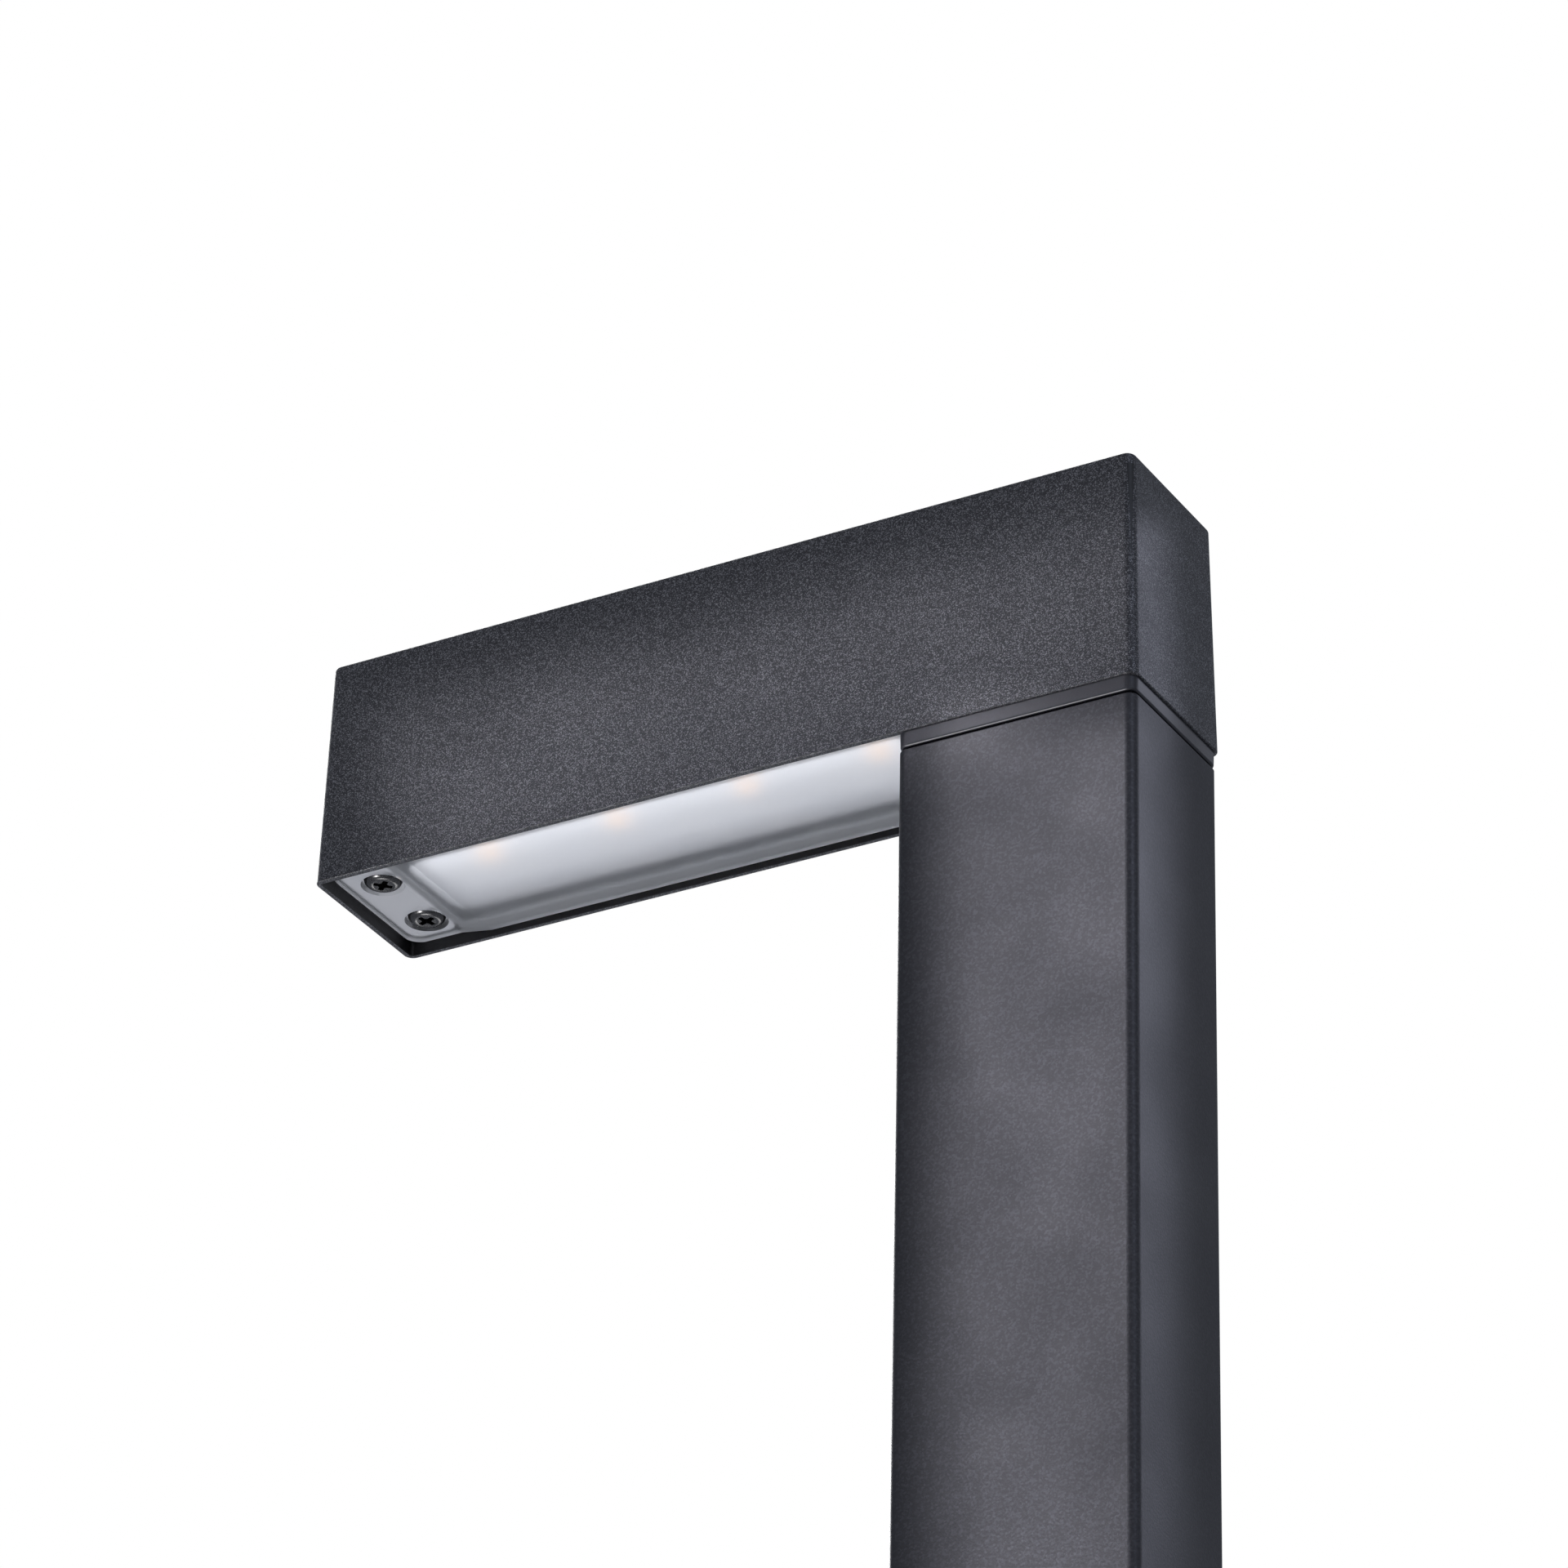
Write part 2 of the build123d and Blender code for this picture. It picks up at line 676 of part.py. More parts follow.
with BuildPart() as driver_capacitors:
    with Locations(*[(driver_x + x, y, rim_z + component_z) for x, y in capacitor_spots]):
        Cylinder(capacitor_radius, capacitor_height, align=UPWARD)
    fillet(driver_capacitors.edges().group_by(Axis.Z)[-1], capacitor_edge_radius)
publish("driver_capacitors", driver_capacitors.part)

with BuildPart() as driver_terminals:
    with Locations((driver_end_x - driver_wall - driver_terminal_end, 0, rim_z + component_z)):
        Box(*terminal_size, align=(Align.MIN, Align.CENTER, Align.MIN))
publish("driver_terminals", driver_terminals.part)

driver_screw = pan_screw(m3_thread, driver_tab_thickness + plate_thickness - slip_gap, m3_head,
                         m3_head_depth, m3_drive)
driver_screw_z = rim_z + driver_floor + driver_tab_thickness
with BuildPart() as driver_screws:
    with Locations(*[seat(x, y, driver_screw_z, (0, 0, 1)) for x, y in driver_screw_spots]):
        add(driver_screw)
publish("driver_screws", driver_screws.part)

# ---------------------------------------------------------------- neck
with BuildPart() as neck:
    # The collar that shows between head and post tapers a little towards the post.
    with BuildSketch(head_plane(0)):
        RectangleRounded(post_depth, post_width, corner_radius)
    extrude(amount=-collar_height, taper=collar_taper)
    fillet(neck.faces().sort_by(Axis.Z)[0].edges(), collar_edge_radius)
    with BuildSketch(Plane.XY.offset(post_top_z)):
        RectangleRounded(post_depth - 2 * groove_depth, post_width - 2 * groove_depth, corner_radius)
    extrude(amount=groove_height)
    with BuildSketch(Plane.XY.offset(post_top_z)):
        RectangleRounded(spigot_depth, spigot_width, tube_corner)
    extrude(amount=-spigot_length)
    chamfer(neck.faces().sort_by(Axis.Z)[0].edges(), spigot_chamfer)
    with BuildSketch(head_plane(0)):
        with Locations((plug_x, 0)):
            RectangleRounded(plug_length, recess_width - 2 * slip_gap, recess_corner)
    extrude(amount=lens_back)
    with BuildSketch(Plane.XY.offset(post_top_z)):
        RectangleRounded(spigot_depth - 2 * spigot_wall, spigot_width - 2 * spigot_wall, corner_radius)
    extrude(amount=-spigot_length, mode=Mode.SUBTRACT)
    with Locations((0, 0, post_top_z - overlap)):
        Cylinder(neck_bore_radius, neck_floor + overlap, align=UPWARD, mode=Mode.SUBTRACT)
    with Locations(*[(x, y, post_top_z - overlap) for x, y in neck_screw_spots]):
        Cylinder(m4_clearance, neck_floor + overlap, align=UPWARD, mode=Mode.SUBTRACT)
    with Locations(*[(-spigot_depth / 2 - overlap, 0, post_top_z - drop) for drop in set_screw_drops]):
        Cylinder(set_screw_radius + thread_gap, spigot_wall + 2 * overlap, rotation=(0, 90, 0),
                 align=UPWARD, mode=Mode.SUBTRACT)
publish("neck", neck.part)

with BuildPart() as neck_gasket:
    with BuildSketch(head_plane(lens_back)):
        with Locations((plug_x, 0)):
            RectangleRounded(plug_length, recess_width - 2 * slip_gap, recess_corner)
        with Locations((neck_window_x, 0)):
            Rectangle(neck_window_length, chamber_width, mode=Mode.SUBTRACT)
    extrude(amount=ledge_depth - lens_back)
publish("neck_gasket", neck_gasket.part)

neck_screw = pan_screw(m4_thread, neck_floor + m4_depth - overlap, m4_head, m4_head_depth, m4_drive)
with BuildPart() as neck_screws:
    with Locations(*[seat(x, y, post_top_z, (0, 0, -1)) for x, y in neck_screw_spots]):
        add(neck_screw)
publish("neck_screws", neck_screws.part)

with BuildPart() as lead_grommet:
    with Locations((0, 0, post_top_z - grommet_lip)):
        Cylinder(neck_bore_radius + grommet_lip_reach, grommet_lip, align=UPWARD)
        Cylinder(neck_bore_radius, neck_floor + grommet_lip, align=UPWARD)
        Cylinder(lead_radius + thread_gap, neck_floor + grommet_lip, align=UPWARD, mode=Mode.SUBTRACT)
publish("lead_grommet", lead_grommet.part)

post_set_screw = set_screw(set_screw_radius, set_screw_length)
with BuildPart() as neck_set_screws:
    for drop in set_screw_drops:
        with Locations(seat(-set_screw_x, 0, post_top_z - drop, (-1, 0, 0))):
            add(post_set_screw)
publish("neck_set_screws", neck_set_screws.part)

# ---------------------------------------------------------------- post
with BuildPart() as post:
    with BuildSketch(Plane.XY.offset(flange_thickness)):
        RectangleRounded(post_depth, post_width, corner_radius)
        RectangleRounded(tube_depth, tube_width, tube_corner, mode=Mode.SUBTRACT)
    extrude(amount=post_top_z - flange_thickness)
    fillet(post.faces().sort_by(Axis.Z)[-1].outer_wire().edges(), rim_edge_radius)
    with Locations(*[(-post_depth / 2 - overlap, 0, post_top_z - drop) for drop in set_screw_drops]):
        Cylinder(set_screw_radius + slip_gap, post_wall + 2 * overlap, rotation=(0, 90, 0),
                 align=UPWARD, mode=Mode.SUBTRACT)
    with Locations(*[(-post_depth / 2 - overlap, 0, height) for height in base_screw_heights]):
        Cylinder(set_screw_radius + slip_gap, post_depth + 2 * overlap, rotation=(0, 90, 0),
                 align=UPWARD, mode=Mode.SUBTRACT)
publish("post", post.part)

# ---------------------------------------------------------------- ground flange
with BuildPart() as ground_flange:
    with BuildSketch():
        RectangleRounded(flange_length, flange_width, flange_corner)
    extrude(amount=flange_thickness)
    fillet(ground_flange.faces().sort_by(Axis.Z)[-1].edges(), flange_edge_radius)
    with BuildSketch(Plane.XY.offset(flange_thickness)):
        RectangleRounded(spigot_depth, spigot_width, tube_corner)
    extrude(amount=socket_height)
    chamfer(ground_flange.faces().sort_by(Axis.Z)[-1].edges(), spigot_chamfer)
    with BuildSketch(Plane.XY.offset(flange_thickness)):
        RectangleRounded(socket_bore_depth, socket_bore_width, corner_radius)
    extrude(amount=socket_height, mode=Mode.SUBTRACT)
    Cylinder(cable_passage_radius, flange_thickness, align=UPWARD, mode=Mode.SUBTRACT)
    with GridLocations(anchor_spacing_x, anchor_spacing_y, 2, 2):
        Cylinder(anchor_hole_radius, flange_thickness, align=UPWARD, mode=Mode.SUBTRACT)
    with Locations(*[(-spigot_depth / 2 - overlap, 0, height) for height in base_screw_heights]):
        Cylinder(set_screw_radius + thread_gap, spigot_depth + 2 * overlap, rotation=(0, 90, 0),
                 align=UPWARD, mode=Mode.SUBTRACT)
    with Locations(*[(x, bracket_y, z) for x, z in bracket_screw_spots]):
        Cylinder(m4_hole, bracket_screw_length + slip_gap, rotation=(-90, 0, 0), align=UPWARD,
                 mode=Mode.SUBTRACT)
publish("ground_flange", ground_flange.part)

with BuildPart() as base_set_screws:
    for side in (-1, 1):
        for height in base_screw_heights:
            with Locations(seat(side * set_screw_x, 0, height, (side, 0, 0))):
                add(post_set_screw)
publish("base_set_screws", base_set_screws.part)

# ---------------------------------------------------------------- connection box
with BuildPart() as box_bracket:
    with BuildSketch(Plane.XZ.offset(-bracket_y)) as bracket_face:
        with Locations((0, (bracket_bottom + bracket_top) / 2)):
            RectangleRounded(bracket_width, bracket_top - bracket_bottom, bracket_corner)
        with Locations(*bracket_screw_spots):
            Circle(m4_clearance, mode=Mode.SUBTRACT)
        with Locations(*box_screw_spots):
            Circle(m3_hole, mode=Mode.SUBTRACT)
    extrude(amount=-bracket_thickness)
publish("box_bracket", box_bracket.part)

bracket_screw = pan_screw(m4_thread, bracket_screw_length, m4_head, m4_head_depth, m4_drive)
with BuildPart() as bracket_screws:
    with Locations(*[seat(x, bracket_y, z, (0, -1, 0)) for x, z in bracket_screw_spots]):
        add(bracket_screw)
publish("bracket_screws", bracket_screws.part)

with BuildPart() as connection_box:
    with BuildSketch(Plane.XZ.offset(-bracket_y)):
        with Locations((0, box_z)):
            RectangleRounded(box_length, box_height, box_corner)
    extrude(amount=box_width)
    with BuildSketch(Plane.XZ.offset(-box_front_y)):
        with Locations((0, box_z)):
            RectangleRounded(box_length - 2 * box_wall, box_height - 2 * box_wall, box_inner_corner)
    extrude(amount=-(box_width - box_wall), mode=Mode.SUBTRACT)
    with BuildSketch(Plane.XZ.offset(-box_front_y)):
        with Locations(*lid_screw_spots):
            Circle(lid_boss_radius)
    extrude(amount=-(box_width - box_wall / 2))
    with Locations(*[(x, box_front_y, z) for x, z in lid_screw_spots]):
        Cylinder(m25_hole, m25_depth, rotation=(-90, 0, 0), align=UPWARD, mode=Mode.SUBTRACT)
    with Locations(*[(x, bracket_y, z) for x, z in box_screw_spots]):
        Cylinder(m3_clearance, 2 * box_wall, rotation=(90, 0, 0), mode=Mode.SUBTRACT)
    with Locations((0, box_y, box_bottom - overlap), (0, box_y, box_top + overlap - 2 * box_wall)):
        Cylinder(gland_thread_radius + thread_gap, 2 * box_wall, align=UPWARD, mode=Mode.SUBTRACT)
publish("connection_box", connection_box.part)

box_screw = pan_screw(m3_thread, box_wall + bracket_thickness, m3_head, m3_head_depth, m3_drive)
with BuildPart() as box_screws:
    with Locations(*[seat(x, bracket_y - box_wall, z, (0, -1, 0)) for x, z in box_screw_spots]):
        add(box_screw)
publish("box_screws", box_screws.part)

with BuildPart() as box_seal:
    with BuildSketch(Plane.XZ.offset(-box_front_y)):
        with Locations((0, box_z)):
            RectangleRounded(box_length, box_height, box_corner)
            RectangleRounded(box_length - 2 * box_wall, box_height - 2 * box_wall, box_inner_corner,
                             mode=Mode.SUBTRACT)
    extrude(amount=seal_thickness)
publish("box_seal", box_seal.part)

lid_back = box_front_y - seal_thickness
with BuildPart() as box_lid:
    with BuildSketch(Plane.XZ.offset(-lid_back)):
        with Locations((0, box_z)):
            RectangleRounded(box_length, box_height, box_corner)
    extrude(amount=lid_thickness)
    with Locations(*[(x, lid_back, z) for x, z in lid_screw_spots]):
        Cylinder(m25_clearance, 2 * lid_thickness, rotation=(90, 0, 0), align=UPWARD, mode=Mode.SUBTRACT)
publish("box_lid", box_lid.part)

lid_screw = pan_screw(m25_thread, lid_thickness + seal_thickness + m25_depth - overlap, m25_head,
                      m25_head_depth, m25_drive)
with BuildPart() as lid_screws:
    with Locations(*[seat(x, lid_back - lid_thickness, z, (0, -1, 0)) for x, z in lid_screw_spots]):
        add(lid_screw)
publish("lid_screws", lid_screws.part)

block_length, block_depth, block_height = block_size
block_back_y = bracket_y - box_wall - m3_head_depth
with BuildPart() as terminal_block:
    with Locations((0, block_back_y, box_z)):
        Box(block_length, block_depth, block_height, align=(Align.CENTER, Align.MAX, Align.CENTER))
    with Locations(*[(x, block_back_y - block_depth, z) for x, z in clamp_spots]):
        Cylinder(clamp_radius, clamp_depth, rotation=(-90, 0, 0), align=UPWARD, mode=Mode.SUBTRACT)
    with Locations(*[(x, block_back_y - block_depth / 2, box_z) for x in pole_places]):
        Cylinder(core_radius + thread_gap, block_height, mode=Mode.SUBTRACT)
publish("terminal_block", terminal_block.part)

with BuildPart() as clamp_screws:
    with Locations(*[(x, block_back_y - block_depth + clamp_sink, z) for x, z in clamp_spots]):
        Cylinder(clamp_screw_radius, clamp_screw_length, rotation=(-90, 0, 0), align=UPWARD)
        Box(2 * clamp_radius, *clamp_slot, mode=Mode.SUBTRACT)
publish("clamp_screws", clamp_screws.part)

body = gland_body()
nut = gland_nut()
seal = gland_seal()
glands = {
    "supply": Plane(origin=(0, box_y, box_bottom), z_dir=(0, 0, 1)),
    "lead": Plane(origin=(0, box_y, box_top), z_dir=(0, 0, -1)),
}
for side, place in glands.items():
    for piece, shape in (("body", body), ("nut", nut), ("seal", seal)):
        with BuildPart() as gland_piece:
            with Locations(place):
                add(shape)
        publish(f"{side}_gland_{piece}", gland_piece.part)

# ---------------------------------------------------------------- wiring
lead_start = (0, box_y, box_top - gland_inner_reach)
lead_middle = [(x, box_y * (1 - i / len(lead_route)), z) for i, (x, z) in enumerate(lead_route)]
lead_end = (0, 0, rim_z + sheath_end)
head_lead = cord([lead_start, *lead_middle, (0, 0, post_top_z - spigot_length), lead_end], lead_radius)
publish("head_lead", head_lead)

with BuildPart() as driver_cores:
    for y in core_rows:
        add(cord([(-core_offset, y, rim_z + sheath_end), (-core_offset, y, rim_z + core_level),
                  (driver_end_x - driver_wall, y, rim_z + core_level)], core_radius))
publish("driver_cores", driver_cores.part)

tag_z = rim_z + earth_seat - tag_thickness
earth_core = cord([(2 * core_offset, 0, rim_z + sheath_end), (2 * core_offset, 0, tag_z - core_radius),
                   (earth_screw_x - tag_radius, 0, tag_z - core_radius)], core_radius)
publish("earth_core", earth_core)

with BuildPart() as earth_tag:
    with BuildSketch(Plane.XY.offset(tag_z)):
        with Locations((earth_screw_x, 0)):
            Circle(tag_radius)
        with Locations((earth_screw_x - tag_radius, 0)):
            Rectangle(tag_radius, 2 * core_radius)
        with Locations((earth_screw_x, 0)):
            Circle(m4_clearance, mode=Mode.SUBTRACT)
    extrude(amount=tag_thickness)
publish("earth_tag", earth_tag.part)

earth_screw_part = pan_screw(m4_thread, tag_thickness + earth_depth - overlap, earth_screw_head,
                             m4_head_depth, m4_drive)
with BuildPart() as earth_screw:
    with Locations(seat(earth_screw_x, 0, tag_z, (0, 0, -1))):
        add(earth_screw_part)
publish("earth_screw", earth_screw.part)

with BuildPart() as led_wires:
    for y in led_wire_rows:
        add(cord([(driver_end_x - driver_wall, y, rim_z + led_lead_level),
                  (led_lead_x, y, rim_z + led_lead_level),
                  (led_lead_x, y, rim_z + board_face)], led_wire_radius))
publish("led_wires", led_wires.part)

block_top = box_z + block_height / 2
block_middle_y = block_back_y - block_depth / 2
with BuildPart() as box_cores:
    for x in pole_places:
        gathered = x * box_core_gather
        add(cord([(gathered, box_y, lead_start[2]), (gathered, box_y, lead_start[2] - box_core_straight),
                  (x, block_middle_y, block_top + box_core_straight),
                  (x, block_middle_y, block_top - box_core_bite)], core_radius))
publish("box_cores", box_cores.part)
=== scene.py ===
import json
from math import atan, cos, radians, sin

import bpy
from mathutils import Matrix, Vector


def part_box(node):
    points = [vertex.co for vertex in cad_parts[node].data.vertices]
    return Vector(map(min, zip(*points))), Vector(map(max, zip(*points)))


MM = 0.001

# The camera stands low on the side of the reach and looks up at the head.
camera_lens = 174.4
sensor_width = 36
camera_azimuth = 29.762
camera_elevation = -29.406
camera_roll = 1.246
camera_distance = 1.4073
camera_clip_start = 0.05
aim_from_head_corner = Vector((-0.06151, -0.02246, -0.01957))

# The part of a noise's range that is spread over a material's own range. Beyond it nothing changes.
middle_noise = (0.3, 0.7)
wide_noise = (0.2, 0.8)

# Powder coats: their roughness, patches, relief, metallic share and flecks, the near-black painted shade
# inside their hollows, and their worn parts.
coat_roughness = (0.42, 0.5)
coat_patch = 30 * MM
peel_lump_in_grains = 1.3
coat_metallic = (0.1, 0.7)
fleck_tint = (1, 1, 1.05)
painted_hollow_shade = (0.006, 0.006, 0.007)
worn_roughness = (0.26, 0.6)
worn_height = 0.5 * MM

# The colour of the painted glow on the white pieces behind the lens, which are no lamps.
painted_glow_color = (0.93, 0.95, 1)

# Where materials change: the casting's inside, which is painted in near-black shade, the groove over the
# post, and the floor of the tray, which carries painted glow.
casting_rim = 1.1 * MM
casting_roof = 2.5 * MM
post_groove = 0.6 * MM
tray_floor_depth = 1 * MM

# The stage.
floor_half = 6.0
floor_glow = 0.12
ambient_color = (0.9, 0.96, 1.1, 1)
ambient_strength = 0.32

# Directions towards the lights, and their colours.
front_direction = (-0.43, -0.76, 0.49)
side_direction = (0.43, 0.76, 0.49)
bounce_direction = (-0.3, 0.35, -1)
low_edge_direction = (-0.43, -0.465, -0.735)
screw_direction = (-0.43, 0.756, -0.49)
corner_direction = (0.756, -0.433, 0.491)
back_direction = (-0.62, 0.55, 0.56)
white = (1, 1, 1)
front_color = (1, 0.98, 1.07)
side_color = (0.93, 0.96, 1.17)
collar_end_color = (0.93, 0.96, 1.1)
corner_color = (0.85, 0.95, 1.2)

# Soft boxes with grids: their distance, and how far their beams reach past edges or stop short of them.
box_distance = 0.6
head_beam_inset = 17 * MM
post_beam_inset = 11 * MM
beam_past_end = 8 * MM
beam_past_head_foot = 4 * MM
beam_below_head_top = 15 * MM
end_beam_past_corner = 16 * MM
bounce_from_free_end = 90 * MM
# A beam falls at a slant, so it is made this much smaller than the heights and widths that it covers.
height_seen = 0.87
front_width_seen = 0.9
end_width_seen = 0.43

# Small square lights.
small_light_size = 0.2
small_light_distance = 0.9

# Soft daylight.
daylight_energy = 3.2
daylight_angle = 35

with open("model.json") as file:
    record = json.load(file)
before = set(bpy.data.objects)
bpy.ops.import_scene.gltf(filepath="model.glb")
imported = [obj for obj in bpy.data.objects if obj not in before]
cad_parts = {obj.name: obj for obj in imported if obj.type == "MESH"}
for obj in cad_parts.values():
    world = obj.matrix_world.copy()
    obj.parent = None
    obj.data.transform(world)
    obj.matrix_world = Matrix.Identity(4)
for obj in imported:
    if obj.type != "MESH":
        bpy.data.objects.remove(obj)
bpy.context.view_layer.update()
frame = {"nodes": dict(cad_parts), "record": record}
nodes = frame["nodes"]
head_low, head_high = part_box("head_housing")
post_low, post_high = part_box("post")
tray_low, tray_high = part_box("reflector")
casting_hollow = (
    (head_low.x + casting_rim, head_low.y + casting_rim, head_low.z - casting_rim),
    (head_high.x - casting_rim, head_high.y - casting_rim, head_high.z - casting_roof),
)


# ---------------------------------------------------------------- node helpers

class Tree:
    """A material's nodes, with short calls for the ones that repeat."""

    def __init__(self, name):
        self.material = bpy.data.materials.new(name)
        self.material.use_nodes = True
        self.nodes = self.material.node_tree.nodes
        self.nodes.clear()
        self.output = self.nodes.new("ShaderNodeOutputMaterial")
        self.place = self.nodes.new("ShaderNodeTexCoord").outputs["Object"]

    def feed(self, value, socket):
        """Gives a socket a number, a colour or the output of another node."""
        if isinstance(value, tuple):
            socket.default_value = (*value, 1)
        elif isinstance(value, (int, float)):
            socket.default_value = value
        else:
            self.material.node_tree.links.new(value, socket)

    def noise(self, size, detail=2, place=None):
        """Soft grain whose lumps are about size metres across."""
        n = self.nodes.new("ShaderNodeTexNoise")
        n.inputs["Scale"].default_value = 1 / size
        n.inputs["Detail"].default_value = detail
        self.feed(place or self.place, n.inputs["Vector"])
        return n.outputs["Fac"]

    def cells(self, size):
        """A random number for each cell about size metres across."""
        n = self.nodes.new("ShaderNodeTexVoronoi")
        n.inputs["Scale"].default_value = 1 / size
        self.feed(self.place, n.inputs["Vector"])
        split = self.nodes.new("ShaderNodeSeparateColor")
        self.feed(n.outputs["Color"], split.inputs["Color"])
        return split.outputs["Red"]

    def axis(self, letter):
        """The position along one axis, in metres."""
        n = self.nodes.new("ShaderNodeSeparateXYZ")
        self.feed(self.place, n.inputs["Vector"])
        return n.outputs[letter]

    def outside(self, low, high):
        """0 inside the box between two corners and 1 outside it."""
        share = 0.0
        for letter, a, b in zip("XYZ", low, high):
            distance = self.math("ABSOLUTE", self.math("SUBTRACT", self.axis(letter), (a + b) / 2))
            share = self.math("MAXIMUM", share, self.math("GREATER_THAN", distance, (b - a) / 2))
        return share

    def stretched(self, factors):
        """The position, squeezed by a factor on each axis, for streaks."""
        n = self.nodes.new("ShaderNodeVectorMath")
        n.operation = "MULTIPLY"
        n.inputs[1].default_value = factors
        self.feed(self.place, n.inputs[0])
        return n.outputs[0]

    def spread(self, value, low, high, to_low=0.0, to_high=1.0):
        """The value between low and high, mapped to to_low and to_high and held there beyond them."""
        n = self.nodes.new("ShaderNodeMapRange")
        n.inputs["From Min"].default_value = low
        n.inputs["From Max"].default_value = high
        n.inputs["To Min"].default_value = to_low
        n.inputs["To Max"].default_value = to_high
        self.feed(value, n.inputs["Value"])
        return n.outputs["Result"]

    def math(self, operation, a, b=0.0):
        """One step of arithmetic on two numbers or outputs."""
        n = self.nodes.new("ShaderNodeMath")
        n.operation = operation
        self.feed(a, n.inputs[0])
        self.feed(b, n.inputs[1])
        return n.outputs[0]

    def mix(self, share, a, b):
        """Colour a where share is 0 and colour b where it is 1."""
        n = self.nodes.new("ShaderNodeMix")
        n.data_type = "RGBA"
        self.feed(share, n.inputs["Factor"])
        self.feed(a, n.inputs[6])
        self.feed(b, n.inputs[7])
        return n.outputs[2]

    def bump(self, height, depth):
        """The surface's normal, tilted as by a relief of the depth given in metres."""
        n = self.nodes.new("ShaderNodeBump")
        n.inputs["Strength"].default_value = 1.0
        n.inputs["Distance"].default_value = depth
        self.feed(height, n.inputs["Height"])
        return n.outputs["Normal"]

    def shader(self, color, roughness, normal, **others):
        """The surface itself; others name its sockets, with _ for each space."""
        n = self.nodes.new("ShaderNodeBsdfPrincipled")
        self.feed(color, n.inputs["Base Color"])
        self.feed(roughness, n.inputs["Roughness"])
        self.feed(normal, n.inputs["Normal"])
        for socket, value in others.items():
            self.feed(value, n.inputs[socket.replace("_", " ")])
        self.feed(n.outputs["BSDF"], self.output.inputs["Surface"])


# ------------------------------------------------------------------ materials

def powder_coat(name, base, grain, depth, sparkle, fleck_start=0.4, hollow=None, worn_level=None):
    """Anthracite powder coat: a dense fine grain of dull metal flecks over an orange-peel surface.

    A cell of the grain is a fleck if its random number is above fleck_start. Inside the hollow, a box,
    the coat carries painted shade: near-black and without flecks. At worn_level and below it is rubbed
    smooth.
    """
    t = Tree(name)
    fleck = t.spread(t.cells(grain), fleck_start, 1)
    bright = tuple(c + sparkle * tint for c, tint in zip(base, fleck_tint))
    # Painted shade: inside the hollow the coat turns near-black and loses its flecks, standing in for the
    # shade there.
    if hollow is not None:
        outside_painted_shade = t.outside(*hollow)
        fleck = t.math("MULTIPLY", fleck, outside_painted_shade)
        base = t.mix(outside_painted_shade, painted_hollow_shade, base)
    roughness = t.spread(t.noise(coat_patch), *middle_noise, *coat_roughness)
    if worn_level is not None:
        worn = t.spread(t.axis("Z"), worn_level, worn_level + worn_height, *worn_roughness)
        roughness = t.math("MINIMUM", roughness, worn)
    orange_peel = t.noise(peel_lump_in_grains * grain, 3)
    t.shader(
        t.mix(fleck, base, bright), roughness, t.bump(orange_peel, depth),
        IOR=1.5, Metallic=t.spread(fleck, 0, 1, *coat_metallic),
    )
    return t.material


def moulded(name, color, roughness, grain=0.8 * MM, shade=0.85, depth=0.02 * MM, **others):
    """Moulded plastic or rubber with a fine spark-eroded grain and a slightly uneven tone."""
    t = Tree(name)
    dark = tuple(c * shade for c in color)
    tone = t.spread(t.noise(12 * MM, 3), *middle_noise)
    texture = t.noise(grain, 3)
    t.shader(
        t.mix(tone, dark, color),
        t.spread(texture, *wide_noise, roughness - 0.06, roughness + 0.06),
        t.bump(texture, depth),
        **others,
    )
    return t.material


def metal(name, color, roughness, streak, grain=0.3 * MM, depth=0.004 * MM):
    """Bare metal with streaks left by rolling or turning: streak holds the squeeze on each axis."""
    t = Tree(name)
    lines = t.noise(grain, 3, t.stretched(streak))
    dark = tuple(c * 0.75 for c in color)
    t.shader(
        t.mix(t.spread(lines, *middle_noise), dark, color),
        t.spread(lines, *middle_noise, roughness - 0.06, roughness + 0.08),
        t.bump(lines, depth),
        Metallic=1.0,
    )
    return t.material


def frosted_lens(name):
    """Polycarbonate with a fine frosting that blurs what is behind it."""
    t = Tree(name)
    frost = t.noise(0.15 * MM)
    waves = t.noise(14 * MM)
    t.shader(
        t.mix(t.spread(waves, *middle_noise), (0.93, 0.94, 0.96), (0.97, 0.975, 0.985)),
        t.spread(frost, *wide_noise, 0.3, 0.36),
        t.bump(frost, 0.006 * MM),
        Transmission_Weight=0.92,
        IOR=1.45,
    )
    return t.material


def tray_with_painted_glow(name, near_painted_glow, far_painted_glow):
    """Moulding with a white floor that carries painted glow, brighter on the near side, pale walls and
    painted shade on its rim.
    """
    t = Tree(name)
    height = t.axis("Z")
    above_painted_rim_shade = t.spread(height, tray_low.z + 0.5 * MM, tray_low.z + 1.5 * MM)
    floor_level = tray_high.z - tray_floor_depth
    on_floor = t.spread(height, floor_level - 0.5 * MM, floor_level)
    cloud = t.spread(t.noise(15 * MM), *middle_noise)
    tray_floor = t.mix(cloud, (0.87, 0.875, 0.89), (0.9, 0.905, 0.92))
    # Painted shade: the walls are near-black along the tray's rim, up to about 1.5 mm above its lowest edge.
    walls = t.mix(above_painted_rim_shade, (0.04, 0.04, 0.043), (0.85, 0.855, 0.87))
    # Painted glow: the floor glows although it is no lamp, fading from the near side to the far side.
    across = t.spread(t.axis("Y"), -3.5 * MM, 4 * MM, near_painted_glow, far_painted_glow)
    texture = t.noise(0.6 * MM)
    t.shader(
        t.mix(on_floor, walls, tray_floor),
        t.spread(texture, *wide_noise, 0.42, 0.5),
        t.bump(texture, 0.01 * MM),
        Emission_Color=(0.95, 0.96, 1),
        Emission_Strength=t.math("MULTIPLY", on_floor, across),
    )
    return t.material


